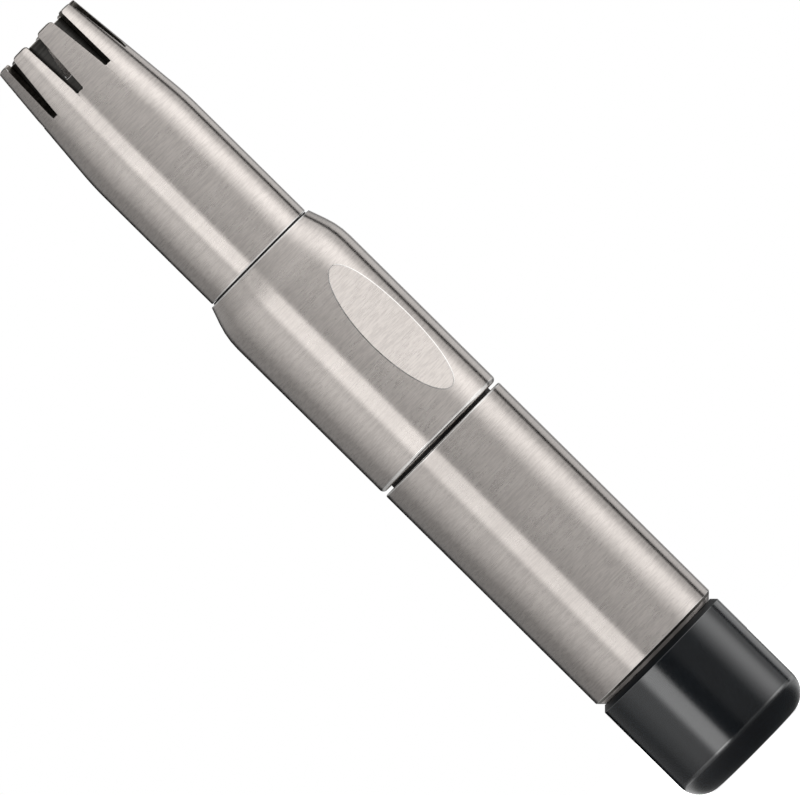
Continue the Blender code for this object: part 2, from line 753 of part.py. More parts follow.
def make_cutter_head(cutters):
    height = TIP_Z - HEAD_BASE_Z
    seat = height - (HEAD_BORE_R - TIP_BORE_R) / TAPER_SLOPE
    corners = [
        (TIP_BORE_R, height, 0),
        (TIP_R, height, FINE_EDGE_ROUND),
        (HEAD_R, TAPER_Z - HEAD_BASE_Z, 0),
        (HEAD_R, 0.0, 0),
        (HEAD_BORE_R, 0.0, 0),
        (HEAD_BORE_R, seat, 0),
    ]
    piece = turned("cutter_head", corners, HEAD_SEGMENTS)
    piece.location.z = HEAD_BASE_Z
    taper = HEAD_SLOT_BOTTOM_WIDTH / HEAD_SLOT_TOP_WIDTH
    slot_size = (HEAD_SLOT_TOP_WIDTH, HEAD_SLOT_DEPTH + SLOT_OVERSHOOT)
    centre = height - (HEAD_SLOT_DEPTH - SLOT_OVERSHOOT) / 2
    slots = ring_of_slots("head_slots", HEAD_SLOTS, slot_size, taper, 0.0, 0.0, centre)
    cut(piece, slots, cutters)
    notch_inner = HEAD_BORE_R - CUTTER_REACH
    notch_outer = KEY_PIN_REACH + 2 * FACE_GAP
    notch_width = 2 * (KEY_PIN_R + FACE_GAP)
    notch_size = (notch_width, notch_outer - notch_inner, 2 * KEY_NOTCH_HEIGHT)
    notch_y = (notch_outer + notch_inner) / 2
    cut(piece, box("key_notch", notch_size, (0.0, notch_y, 0.0)), cutters)
    return piece


def make_rotor_blade(cutters):
    height = ROTOR_TOP_Z - ROTOR_BASE_Z
    mouth_r = TIP_BORE_R + TAPER_SLOPE * (TIP_Z - ROTOR_TOP_Z) - RUNNING_FIT
    taper_start = height - (ROTOR_R - mouth_r) / TAPER_SLOPE
    corners = [
        (mouth_r - ROTOR_WALL, height, 0),
        (mouth_r, height, 0),
        (ROTOR_R, taper_start, 0),
        (ROTOR_R, 0.0, 0),
        (ROTOR_BORE_R, 0.0, 0),
        (ROTOR_BORE_R, taper_start, 0),
    ]
    piece = turned("rotor_blade", corners, HEAD_SEGMENTS)
    piece.location.z = ROTOR_BASE_Z
    slot_size = (ROTOR_SLOT_WIDTH, 2 * ROTOR_SLOT_DEPTH)
    slots = ring_of_slots(
        "rotor_slots", ROTOR_SLOTS, slot_size, 1.0, ROTOR_SLOT_SKEW, ROTOR_SLOT_START, height
    )
    cut(piece, slots, cutters)
    return piece


def make_rotor_hub(cutters):
    height = HUB_TOP_Z - HUB_BASE_Z
    outline = ring(SHAFT_R + RUNNING_FIT, HUB_R, height, LEAD_IN_ROUND)
    piece = turned("rotor_hub", outline, FITTED_SEGMENTS)
    piece.location.z = HUB_BASE_Z
    slot_width = 2 * (DRIVE_PIN_R + FACE_GAP)
    slot_height = 2 * (DRIVE_SLOT_TOP_Z - HUB_BASE_Z)
    slot = box("drive_slot", (DRIVE_SLOT_LENGTH, slot_width, slot_height), (0.0, 0.0, 0.0))
    cut(piece, slot, cutters)
    return piece


# ---------------------------------------------------------------- assembly


def add_body(name, parent, pieces, collection):
    """Parents (piece, material) pairs to an empty on the axis that stands for one moving body."""
    body = bpy.data.objects.new(name + "_body", None)
    body.parent = parent
    collection.objects.link(body)
    for piece, material in pieces:
        piece.parent = body
        piece.data.materials.clear()
        piece.data.materials.append(material)
        collection.objects.link(piece)
    return body


def main():
    clear_scene()
    parts = new_collection("nose_hair_trimmer")
    cutters = new_collection("cutters")
    brushed = brushed_steel()
    blade = blade_steel()
    bright = bright_steel()
    nylon = black_nylon()
    rubber = black_rubber()

    cap = add_body("protective_cap", None, [(make_protective_cap(), blue_black_plastic())], parts)
    grip_pieces = [
        (make_grip_sleeve(), brushed),
        (make_grip_core(cutters), aluminium()),
        (make_drive_shaft(cutters), bright),
        (make_grip_set_screw(cutters), blade),
        (make_retaining_clip(cutters), blade),
        (make_shim_washer(), bright),
        (make_tail_plug(), nylon),
        (make_tail_screw(cutters), bright),
        (make_cap_o_ring(), rubber),
        (make_drive_pin(), bright),
        (make_spring_seat(), bright),
        (make_rotor_spring(), bright),
    ]
    grip = add_body("twist_grip", cap, grip_pieces, parts)
    rotor_pieces = [
        (make_rotor_blade(cutters), blade),
        (make_rotor_hub(cutters), bronze()),
    ]
    add_body("rotor", grip, rotor_pieces, parts)
    casing_pieces = [
        (make_upper_casing(cutters), brushed),
        (make_head_spigot(cutters), nylon),
        (make_head_key_pin(), bright),
        (make_head_o_ring(), rubber),
        (make_front_bushing(), bronze()),
        (make_rear_bushing(), white_acetal()),
        (make_thrust_washer(), nylon),
    ]
    casing = add_body("casing", grip, casing_pieces, parts)
    add_body("cutter_head", casing, [(make_cutter_head(cutters), brushed)], parts)


main()
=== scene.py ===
"""Looks of the twist-type nose hair trimmer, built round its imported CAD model.

The trimmer stands on the flat end of its cap, with its axis along Z and its thumb rest facing
-Y. Lengths are in metres. Angles round the axis are counted from -Y, towards +X.
"""

import math

import bmesh
import bpy
from mathutils import Matrix, Vector


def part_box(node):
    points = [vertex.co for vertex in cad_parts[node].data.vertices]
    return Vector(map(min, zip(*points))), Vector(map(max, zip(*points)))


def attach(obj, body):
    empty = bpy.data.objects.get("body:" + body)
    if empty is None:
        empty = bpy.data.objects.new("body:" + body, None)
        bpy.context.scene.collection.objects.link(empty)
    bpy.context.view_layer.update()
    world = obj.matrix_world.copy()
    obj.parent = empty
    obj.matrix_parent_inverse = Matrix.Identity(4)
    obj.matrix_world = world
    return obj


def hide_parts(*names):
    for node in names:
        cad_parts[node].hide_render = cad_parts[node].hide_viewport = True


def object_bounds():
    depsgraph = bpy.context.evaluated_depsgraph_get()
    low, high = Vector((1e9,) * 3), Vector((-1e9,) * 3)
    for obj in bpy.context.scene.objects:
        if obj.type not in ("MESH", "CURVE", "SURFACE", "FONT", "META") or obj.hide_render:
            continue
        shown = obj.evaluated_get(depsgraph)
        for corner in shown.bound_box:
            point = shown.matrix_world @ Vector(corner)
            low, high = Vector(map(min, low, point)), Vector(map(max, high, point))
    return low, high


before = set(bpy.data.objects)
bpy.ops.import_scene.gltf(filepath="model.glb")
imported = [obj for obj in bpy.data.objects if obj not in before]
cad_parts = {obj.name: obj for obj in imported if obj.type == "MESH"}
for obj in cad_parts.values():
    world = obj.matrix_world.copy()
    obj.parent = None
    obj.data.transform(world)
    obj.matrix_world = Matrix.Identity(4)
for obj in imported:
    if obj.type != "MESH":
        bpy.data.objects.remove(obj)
CAD_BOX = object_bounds()
BASE = CAD_BOX[0]
TOP = CAD_BOX[1]
MM = 0.001

# ---------------------------------------------------------------- sizes

BODY_R = 6.35 * MM
CAP_TOP_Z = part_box("protective_cap")[1].z
SLEEVE_BASE_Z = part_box("grip_sleeve")[0].z
SLEEVE_TOP_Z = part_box("grip_sleeve")[1].z
CASING_BASE_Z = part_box("upper_casing")[0].z
CASING_TOP_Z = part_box("upper_casing")[1].z
HEAD_BASE_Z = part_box("cutter_head")[0].z
TIP_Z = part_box("cutter_head")[1].z
ROTOR_BASE_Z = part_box("rotor_blade")[0].z
ROTOR_TOP_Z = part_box("rotor_blade")[1].z

CAP_BORE_R = 5.35 * MM
CAP_FLOOR = 1.25 * MM
CAP_END_ROUND = 2.20 * MM
CAP_RIM_CHAMFER = 0.43 * MM

SLEEVE_BORE_R = 5.50 * MM
SLEEVE_CHAMFER = 0.50 * MM
EDGE_ROUND = 0.16 * MM
FINE_ROUND = 0.06 * MM

CASING_BORE_R = 5.00 * MM
CASING_LIP_DEPTH = 1.1 * MM
CASING_LOWER_ROUND = 0.40 * MM
SPIGOT_SEAT_R = 5.17 * MM
SPIGOT_SEAT_DEPTH = 0.60 * MM
SHOULDER_Z = 52.66 * MM
SHOULDER_TOP_R = 5.45 * MM
SHOULDER_ROUND = 7.0 * MM
THUMB_Z = 44.05 * MM
THUMB_DEPTH = 0.42 * MM
THUMB_CUTTER_R = 53.5 * MM

HEAD_R = 5.23 * MM
TIP_R = 4.18 * MM
TAPER_Z = 68.60 * MM
TAPER_SLOPE = (HEAD_R - TIP_R) / (TIP_Z - TAPER_Z)
HEAD_WALL = 0.55 * MM
HEAD_BORE_R = 4.36 * MM
HEAD_SLOTS = 9
HEAD_SLOT_DEPTH = 5.62 * MM
HEAD_SLOT_TOP_WIDTH = 1.30 * MM
HEAD_SLOT_BOTTOM_WIDTH = 0.67 * MM
TOOTH_ROUND = 0.30 * MM
SLOT_CORNER_ROUND = 0.08 * MM

ROTOR_R = 4.26 * MM
ROTOR_WALL = 0.42 * MM
ROTOR_CLEARANCE = 0.05 * MM
ROTOR_SLOTS = 4
ROTOR_SLOT_DEPTH = 3.9 * MM
ROTOR_SLOT_WIDTH = 1.2 * MM
ROTOR_SLOT_SKEW = math.radians(14)
ROTOR_SLOT_START = math.radians(-20)

PLUG_HOLE_R = 1.30 * MM
PLUG_BARREL_R = 5.47 * MM
PLUG_SHOULDER_Z = 11.35 * MM
PLUG_SPIGOT_R = 5.25 * MM
PLUG_LEAD_ROUND = 0.35 * MM
PLUG_COUNTERBORE_R = 2.25 * MM
PLUG_COUNTERBORE_DEPTH = 2.20 * MM
CAP_GROOVE_Z = 8.30 * MM
CAP_GROOVE_TOP_Z = 9.40 * MM
CAP_GROOVE_R = 4.45 * MM

SPIGOT_R = 4.32 * MM
SPIGOT_BORE_R = 3.00 * MM
SPIGOT_BARREL_R = 4.97 * MM
SPIGOT_FLANGE_R = 5.14 * MM
SPIGOT_SHOULDER_Z = 55.33 * MM
SPIGOT_FIT = 0.03 * MM
SPIGOT_LEAD_ROUND = 0.35 * MM
HEAD_GROOVE_Z = 58.20 * MM
HEAD_GROOVE_TOP_Z = 59.10 * MM
HEAD_GROOVE_R = 3.55 * MM
SEAL_FIT = 0.03 * MM

SPRING_SEAT_R = 2.90 * MM
SPRING_SEAT_BORE_R = 1.55 * MM

# ---------------------------------------------------------------- view and light

VIEW_AZIMUTH = math.radians(-33.3)
VIEW_ROLL = math.radians(-45.31)
VIEW_DISTANCE = 1.4075
VIEW_LENS = 800
VIEW_SENSOR = 36
AIM_RIGHT = 0.328 * MM
AIM_UP = -0.344 * MM

TO_CAMERA = Vector((math.sin(VIEW_AZIMUTH), -math.cos(VIEW_AZIMUTH), 0.0))
TO_RIGHT = Vector((math.cos(VIEW_AZIMUTH), math.sin(VIEW_AZIMUTH), 0.0))

# Lights round the trimmer. Angles are in degrees from the camera, to its right: middle,
# half width, softness of the left edge, softness of the right edge, brightness.
# The panels stand at the trimmer's own height; the tent's cloth is above and below them.
PANELS = (
    (-31, 13.5, 14, 8, 2.45),
    (-65, 25, 44, 16, 0.6),
    (-120, 30, 8, 20, 0.17),
    (40, 26, 12, 14, 0.13),
    (86, 16, 40, 24, 1.65),
    (110.5, 12.5, 16, 3, 0.45),
    (144, 12, 3, 12, 0.80),
    (170, 8, 10, 4, 0.5),
)
TENT = (
    (-21, 144, 14, 3, 0.38),
    (15.5, 107.5, 48, 3, 0.41),
    (24, 26, 16, 16, 0.07),
    (-125, 30, 30, 30, 0.05),
    (-60, 9, 12, 12, 0.13),
    (80, 20, 30, 40, 0.40),
    (139.5, 7, 3, 10, 0.36),
    (156, 23.5, 3, 10, 0.08),
)
PANEL_FULL_ELEVATION = 5
PANEL_END_ELEVATION = 12
TENT_TOP = (34, 62)
TENT_TOP_SLOPE = 0.15
TENT_BOTTOM = (-52, -40)
TENT_TOP_LEFT_OVER = 0.05
TENT_BOTTOM_LEFT_OVER = 0.02


class Wiring:
    """Short calls for building one node tree."""

    def __init__(self, tree):
        self.tree = tree

    def node(self, kind, **settings):
        made = self.tree.nodes.new(kind)
        for name, value in settings.items():
            setattr(made, name, value)
        return made

    def feed(self, socket, value):
        if isinstance(value, bpy.types.NodeSocket):
            self.tree.links.new(value, socket)
        else:
            socket.default_value = value

    def math(self, operation, *values):
        made = self.node("ShaderNodeMath", operation=operation)
        for socket, value in zip(made.inputs, values):
            self.feed(socket, value)
        return made.outputs[0]

    def vector(self, operation, *values):
        made = self.node("ShaderNodeVectorMath", operation=operation)
        for socket, value in zip(made.inputs, values):
            self.feed(socket, value)
        return made.outputs["Value" if operation in ("DOT_PRODUCT", "LENGTH") else "Vector"]

    def span(self, value, low, high, to_low=0.0, to_high=1.0):
        """value eased from to_low, at and below low, to to_high, at and above high."""
        made = self.node("ShaderNodeMapRange", interpolation_type="SMOOTHSTEP")
        for name, number in (
            ("Value", value),
            ("From Min", low),
            ("From Max", high),
            ("To Min", to_low),
            ("To Max", to_high),
        ):
            self.feed(made.inputs[name], number)
        return made.outputs["Result"]

    def noise(self, place, feature, detail=2.0, roughness=0.5):
        """Noise from 0 to 1, whose features are about this large in X, Y and Z."""
        scaled = self.vector("MULTIPLY", place, [1 / size for size in feature])
        made = self.node("ShaderNodeTexNoise")
        self.feed(made.inputs["Vector"], scaled)
        self.feed(made.inputs["Scale"], 1.0)
        self.feed(made.inputs["Detail"], detail)
        self.feed(made.inputs["Roughness"], roughness)
        return made.outputs["Fac"]

    def mix(self, factor, first, second):
        """A colour between two, each an RGB triple or a socket."""
        made = self.node("ShaderNodeMix", data_type="RGBA")
        self.feed(made.inputs["Factor"], factor)
        for name, colour in (("A", first), ("B", second)):
            socket = [s for s in made.inputs if s.name == name and s.type == "RGBA"][0]
            self.feed(socket, colour if isinstance(colour, bpy.types.NodeSocket) else (*colour, 1.0))
        return [s for s in made.outputs if s.type == "RGBA"][0]

    def bump(self, height, depth, strength=1.0):
        made = self.node("ShaderNodeBump")
        self.feed(made.inputs["Height"], height)
        self.feed(made.inputs["Distance"], depth)
        self.feed(made.inputs["Strength"], strength)
        return made.outputs["Normal"]


# ---------------------------------------------------------------- materials


def new_material(name):
    """A material, its wiring, its shader and the place on the piece that it is asked for."""
    material = bpy.data.materials.new(name)
    material.use_nodes = True
    wiring = Wiring(material.node_tree)
    shader = material.node_tree.nodes["Principled BSDF"]
    place = wiring.node("ShaderNodeTexCoord").outputs["Object"]
    return material, wiring, shader, place


def settle(shader, **numbers):
    """Sets plain values on the shader's own sockets, named with _ for each space."""
    for name, number in numbers.items():
        shader.inputs[name.replace("_", " ")].default_value = number


def brushed_steel(name, tone):
    """Steel brushed round the axis. A tone above 1 paints the same steel lighter, as painted light."""
    material, wiring, shader, place = new_material(name)
    fine = wiring.noise(place, (0.9 * MM, 0.9 * MM, 0.13 * MM), 3.0, 0.6)
    lines = wiring.noise(place, (5 * MM, 5 * MM, 0.10 * MM), 2.0, 0.5)
    cloud = wiring.noise(place, (4 * MM, 4 * MM, 2 * MM), 2.0, 0.5)
    brushing = wiring.math("ADD", fine, wiring.math("MULTIPLY", lines, 0.5))
    dark = [tone * c for c in (0.545, 0.506, 0.480)]
    light = [tone * c for c in (0.665, 0.618, 0.584)]
    colour = wiring.mix(wiring.span(brushing, 0.55, 0.95), dark, light)
    wiring.feed(shader.inputs["Base Color"], colour)
    roughness = wiring.span(fine, 0.3, 0.7, 0.27, 0.31)
    roughness = wiring.math("ADD", roughness, wiring.span(cloud, 0.3, 0.7, -0.01, 0.01))
    wiring.feed(shader.inputs["Roughness"], roughness)
    wiring.feed(shader.inputs["Normal"], wiring.bump(brushing, 0.0012 * MM))
    tangent = wiring.node("ShaderNodeTangent", direction_type="RADIAL", axis="Z")
    wiring.feed(shader.inputs["Tangent"], tangent.outputs[0])
    settle(
        shader,
        Metallic=1.0,
        Anisotropic=1.0,
        Anisotropic_Rotation=0.25,
    )
    return material


def polished_edge(name, tone=1.0):
    """The narrow bright line that deburring leaves along an edge."""
    material, wiring, shader, place = new_material(name)
    wear = wiring.noise(place, (0.5 * MM, 0.5 * MM, 0.5 * MM), 3.0, 0.6)
    dark = [tone * c for c in (0.72, 0.70, 0.68)]
    light = [tone * c for c in (0.86, 0.84, 0.82)]
    wiring.feed(shader.inputs["Base Color"], wiring.mix(wiring.span(wear, 0.3, 0.7), dark, light))
    wiring.feed(shader.inputs["Roughness"], wiring.span(wear, 0.3, 0.7, 0.16, 0.24))
    wiring.feed(shader.inputs["Normal"], wiring.bump(wear, 0.002 * MM))
    settle(shader, Metallic=1.0)
    return material


def painted_shade_steel(name):
    """Steel darkened as painted shade, for the sleeve's chamfer, the slot walls and the tooth tips, with
    fine lines and stains.
    """
    material, wiring, shader, place = new_material(name)
    lines = wiring.noise(place, (3 * MM, 3 * MM, 0.05 * MM), 2.0, 0.5)
    stain = wiring.noise(place, (0.8 * MM, 0.8 * MM, 0.4 * MM), 3.0, 0.6)
    mixed = wiring.math("MULTIPLY", wiring.math("ADD", lines, stain), 0.5)
    colour = wiring.mix(wiring.span(mixed, 0.35, 0.65), (0.10, 0.092, 0.082), (0.19, 0.175, 0.155))
    wiring.feed(shader.inputs["Base Color"], colour)
    wiring.feed(shader.inputs["Roughness"], wiring.span(stain, 0.3, 0.7, 0.32, 0.45))
    wiring.feed(shader.inputs["Normal"], wiring.bump(lines, 0.0015 * MM))
    settle(shader, Metallic=1.0)
    return material


def moulded_plastic(name, dark, light, roughness, ior=1.5):
    """Smooth moulded plastic with faint waviness and a fine grain."""
    material, wiring, shader, place = new_material(name)
    grain = wiring.noise(place, (0.12 * MM, 0.12 * MM, 0.12 * MM), 2.0, 0.5)
    cloud = wiring.noise(place, (3 * MM, 3 * MM, 3 * MM), 2.0, 0.5)
    wiring.feed(shader.inputs["Base Color"], wiring.mix(wiring.span(cloud, 0.3, 0.7), dark, light))
    low = roughness - 0.02
    high = roughness + 0.03
    wiring.feed(shader.inputs["Roughness"], wiring.span(grain, 0.3, 0.7, low, high))
    wiring.feed(shader.inputs["Normal"], wiring.bump(grain, 0.0006 * MM))
    settle(shader, Metallic=0.0, IOR=ior)
    return material


def turned_metal(name, dark, light, roughness):
    """Plain turned metal: fine tool lines round the axis and slight clouding."""
    material, wiring, shader, place = new_material(name)
    lines = wiring.noise(place, (2 * MM, 2 * MM, 0.06 * MM), 2.0, 0.5)
    cloud = wiring.noise(place, (1.5 * MM, 1.5 * MM, 1.5 * MM), 3.0, 0.6)
    mixed = wiring.math("MULTIPLY", wiring.math("ADD", lines, cloud), 0.5)
    wiring.feed(shader.inputs["Base Color"], wiring.mix(wiring.span(mixed, 0.35, 0.65), dark, light))
    low = roughness - 0.05
    high = roughness + 0.07
    wiring.feed(shader.inputs["Roughness"], wiring.span(cloud, 0.3, 0.7, low, high))
    wiring.feed(shader.inputs["Normal"], wiring.bump(lines, 0.0015 * MM))
    settle(shader, Metallic=1.0)
    return material


def rubber(name):
    material, wiring, shader, place = new_material(name)
    dust = wiring.noise(place, (0.2 * MM, 0.2 * MM, 0.2 * MM), 4.0, 0.6)
    colour = wiring.mix(wiring.span(dust, 0.4, 0.8), (0.010, 0.010, 0.010), (0.028, 0.028, 0.027))
    wiring.feed(shader.inputs["Base Color"], colour)
    wiring.feed(shader.inputs["Roughness"], wiring.span(dust, 0.3, 0.7, 0.55, 0.75))
    wiring.feed(shader.inputs["Normal"], wiring.bump(dust, 0.004 * MM))
    settle(shader, Metallic=0.0)
    return material


MATERIALS = {
    "brushed_steel": brushed_steel("brushed_steel", 1.0),
    # The casing and head, and the thumb rest more so, are the grip's steel with painted light. Their
    # higher tones stand in for how the light falls on them.
    "brushed_steel_painted_lighter": brushed_steel("brushed_steel_painted_lighter", 1.12),
    "brushed_steel_painted_lightest": brushed_steel("brushed_steel_painted_lightest", 1.3),
    "polished_edge": polished_edge("polished_edge"),
    "painted_shade_steel": painted_shade_steel("painted_shade_steel"),
    "matt_plastic": moulded_plastic(
        "matt_plastic", (0.0014, 0.0024, 0.0036), (0.0020, 0.0034, 0.0048), 0.4, 1.3
    ),
    "burnished_plastic": moulded_plastic(
        "burnished_plastic", (0.0022, 0.0034, 0.0048), (0.0030, 0.0046, 0.0062), 0.17, 2.3
    ),
    # Near-black blackened steel, made darker as painted shade inside the head where the rotor shows; the
    # set screw and clip share it.
    "blade_steel": turned_metal("blade_steel", (0.034, 0.033, 0.031), (0.075, 0.072, 0.068), 0.42),
    "bright_steel": turned_metal("bright_steel", (0.60, 0.60, 0.60), (0.76, 0.76, 0.75), 0.22),
    "bronze": turned_metal("bronze", (0.42, 0.26, 0.10), (0.60, 0.40, 0.19), 0.40),
    "aluminium": turned_metal("aluminium", (0.58, 0.59, 0.60), (0.72, 0.73, 0.74), 0.40),
    "blue_black_plastic": moulded_plastic(
        "blue_black_plastic", (0.0014, 0.0024, 0.0036), (0.0020, 0.0034, 0.0048), 0.17, 1.8
    ),
    "black_nylon": moulded_plastic("black_nylon", (0.006, 0.006, 0.007), (0.012, 0.012, 0.012), 0.5, 1.3),
    "white_acetal": moulded_plastic("white_acetal", (0.74, 0.73, 0.69), (0.82, 0.81, 0.77), 0.42),
    "black_rubber": rubber("black_rubber"),
}


# ---------------------------------------------------------------- shapes

ROUND_SEGMENTS = 256
ARC_STEP = math.radians(9)
SHARP_ANGLE = math.radians(32)
POLISHED_LIMIT = 0.5 * MM
MERGE_DISTANCE = 0.0004 * MM
EDGE_BREAK_LENGTH = 0.10 * MM
EDGE_BREAK_DEPTH = 0.03 * MM
# Finish indices. DARK is painted shade on the steel pieces and matt plastic on the cap.
PLAIN = 0
POLISHED = 1
DARK = 2


def rounded(corners):
    """An outline through (r, z, rounding, finish) corners, as (r, z, finish) points.

    A corner's finish is that of the straight stretch after it, and a point's that of the
    stretch that starts there. Small roundings are POLISHED.
    """
    outline = []
    for index, (r, z, rounding, finish) in enumerate(corners):
        if rounding == 0:
            outline.append((r, z, finish))
            continue
        before = corners[index - 1]
        after = corners[(index + 1) % len(corners)]
        to_before = math.atan2(before[1] - z, before[0] - r)
        to_after = math.atan2(after[1] - z, after[0] - r)
        opening = math.remainder(to_after - to_before, 2 * math.pi)
        to_centre = to_before + opening / 2
        reach = rounding / math.sin(abs(opening) / 2)
        centre_r = r + reach * math.cos(to_centre)
        centre_z = z + reach * math.sin(to_centre)
        turn = math.copysign(math.pi - abs(opening), opening)
        start = to_centre + math.pi + turn / 2
        steps = max(2, math.ceil(abs(turn) / ARC_STEP))
        on_arc = POLISHED if rounding < POLISHED_LIMIT else PLAIN
        for step in range(steps + 1):
            angle = start - turn * step / steps
            point_r = centre_r + rounding * math.cos(angle)
            point_z = centre_z + rounding * math.sin(angle)
            outline.append((point_r, point_z, on_arc if step < steps else finish))
    return outline


def at(r, angle, z):
    """A point r from the axis, at an angle counted from -Y towards +X."""
    return Vector((r * math.sin(angle), -r * math.cos(angle), z))


def to_object(name, shape, materials):
    """A bmesh as a smooth object at the row frame's origin, with the named materials."""
    bmesh.ops.remove_doubles(shape, verts=shape.verts, dist=MERGE_DISTANCE)
    mesh = bpy.data.meshes.new(name)
    shape.to_mesh(mesh)
    shape.free()
    mesh.shade_smooth()
    mesh.set_sharp_from_angle(angle=SHARP_ANGLE)
    for material in materials:
        mesh.materials.append(MATERIALS[material])
    piece = bpy.data.objects.new(name, mesh)
    bpy.context.scene.collection.objects.link(piece)
    return piece


def even_shading(piece):
    """Keeps long faces flat next to their small roundings."""
    modifier = piece.modifiers.new("even_shading", "WEIGHTED_NORMAL")
    modifier.mode = "FACE_AREA"
    modifier.weight = 100
    modifier.keep_sharp = True


def skin(shape, rings, finishes):
    """Faces between each ring of points and the next, with each band's finish."""
    count = len(rings[0])
    for upper, lower, finish in zip(rings, rings[1:], finishes):
        for step in range(count):
            after = (step + 1) % count
            corners = (upper[step], lower[step], lower[after], upper[after])
            corners = list(dict.fromkeys(corners))
            if len(corners) > 2:
                shape.faces.new(corners).material_index = finish


def turned(name, corners, materials, segments=ROUND_SEGMENTS):
    """A piece turned about Z from an outline that runs down its outer side.

    An outline whose ends are both on the axis is a solid one; any other is closed into a ring.
    """
    outline = rounded(corners)
    shape = bmesh.new()
    rings = []
    for r, z, finish in outline:
        if r > 0:
            turns = [2 * math.pi * step / segments for step in range(segments)]
            rings.append([shape.verts.new(at(r, turn, z)) for turn in turns])
        else:
            rings.append([shape.verts.new((0.0, 0.0, z))] * segments)
    if outline[0][0] > 0:
        rings.append(rings[0])
    skin(shape, rings, [finish for r, z, finish in outline])
    if len(materials) == 1:
        for face in shape.faces:
            face.material_index = 0
    piece = to_object(name, shape, materials)
    even_shading(piece)
    return piece


# ---------------------------------------------------------------- cap and grip

WITNESS_LINE = 0.35 * MM
# The share of the sleeve's chamfer that is painted with shade.
DARK_SHARE = 0.42


def burnish_witness_line(piece):
    """Makes the narrow band glossy in which the cap's wall runs into its rounded end."""
    for face in piece.data.polygons:
        under_wall = 0 < CAP_END_ROUND - face.center.z < WITNESS_LINE
        if under_wall and math.hypot(face.center.x, face.center.y) > CAP_BORE_R:
            face.material_index = POLISHED


def add_cap():
    bore_round = CAP_END_ROUND - (BODY_R - CAP_BORE_R)
    corners = [
        (0.0, CAP_FLOOR, 0, PLAIN),
        (CAP_BORE_R, CAP_FLOOR, bore_round, PLAIN),
        (CAP_BORE_R, CAP_TOP_Z, FINE_ROUND, PLAIN),
        (BODY_R - CAP_RIM_CHAMFER, CAP_TOP_Z, 0, DARK),
        (BODY_R, CAP_TOP_Z - CAP_RIM_CHAMFER, FINE_ROUND, PLAIN),
        (BODY_R, 0.0, CAP_END_ROUND, PLAIN),
        (0.0, 0.0, 0, PLAIN),
    ]
    finishes = ["blue_black_plastic", "burnished_plastic", "matt_plastic"]
    piece = turned("cap_shell", corners, finishes)
    burnish_witness_line(piece)
    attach(piece, "protective_cap")
    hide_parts("protective_cap")


def add_sleeve():
    # The upper share of the chamfer gets painted shade; the lower part is the plain brushed steel.
    step_r = BODY_R - DARK_SHARE * SLEEVE_CHAMFER
    step_z = SLEEVE_BASE_Z + (1 - DARK_SHARE) * SLEEVE_CHAMFER
    corners = [
        (SLEEVE_BORE_R, SLEEVE_TOP_Z, 0, PLAIN),
        (BODY_R, SLEEVE_TOP_Z, EDGE_ROUND, PLAIN),
        (BODY_R, SLEEVE_BASE_Z + SLEEVE_CHAMFER, FINE_ROUND, DARK),
        (step_r, step_z, 0, PLAIN),
        (BODY_R - SLEEVE_CHAMFER, SLEEVE_BASE_Z, 0, PLAIN),
        (SLEEVE_BORE_R, SLEEVE_BASE_Z, 0, PLAIN),
    ]
    piece = turned("sleeve_shell", corners, ["brushed_steel", "polished_edge", "painted_shade_steel"])
    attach(piece, "twist_grip")
    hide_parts("grip_sleeve")


# ---------------------------------------------------------------- casing

THUMB_ROWS = 56
THUMB_COLUMNS = 40
THUMB_EDGE = 0.05 * MM
ON_REST = 0.002 * MM
WALL_FACING = 0.97
REST = 2
THUMB_HALF_LENGTH = math.sqrt(THUMB_CUTTER_R**2 - (THUMB_CUTTER_R - THUMB_DEPTH) ** 2)


def thumb_y(z):
    """How far -Y the thumb rest's surface lies at a height."""
    across = math.sqrt(THUMB_CUTTER_R**2 - (z - THUMB_Z) ** 2)
    return BODY_R - THUMB_DEPTH + THUMB_CUTTER_R - across


def thumb_half_angle(z):
    """Half the angle that the thumb rest takes up round the casing at a height."""
    if abs(z - THUMB_Z) >= THUMB_HALF_LENGTH:
        return 0.0
    return math.acos(min(1.0, thumb_y(z) / BODY_R))


def casing_row(shape, r, z, on_wall):
    """One ring of the casing: first the columns across the thumb rest, then those round the rest."""
    half = thumb_half_angle(z) if on_wall else 0.0
    points = []
    for column in range(THUMB_COLUMNS):
        angle = half * (2 * column / THUMB_COLUMNS - 1)
        depth_r = thumb_y(z) / math.cos(angle) if half else r
        points.append(at(depth_r, angle, z))
    for column in range(ROUND_SEGMENTS):
        angle = half + (2 * math.pi - 2 * half) * column / ROUND_SEGMENTS
        points.append(at(r, angle, z))
    return [shape.verts.new(point) for point in points]


def shoulder_r(z):
    """The straight part of the shoulder, as a radius by height."""
    slope = (BODY_R - SHOULDER_TOP_R) / (CASING_TOP_Z - SHOULDER_Z)
    return SHOULDER_TOP_R + slope * (CASING_TOP_Z - z)


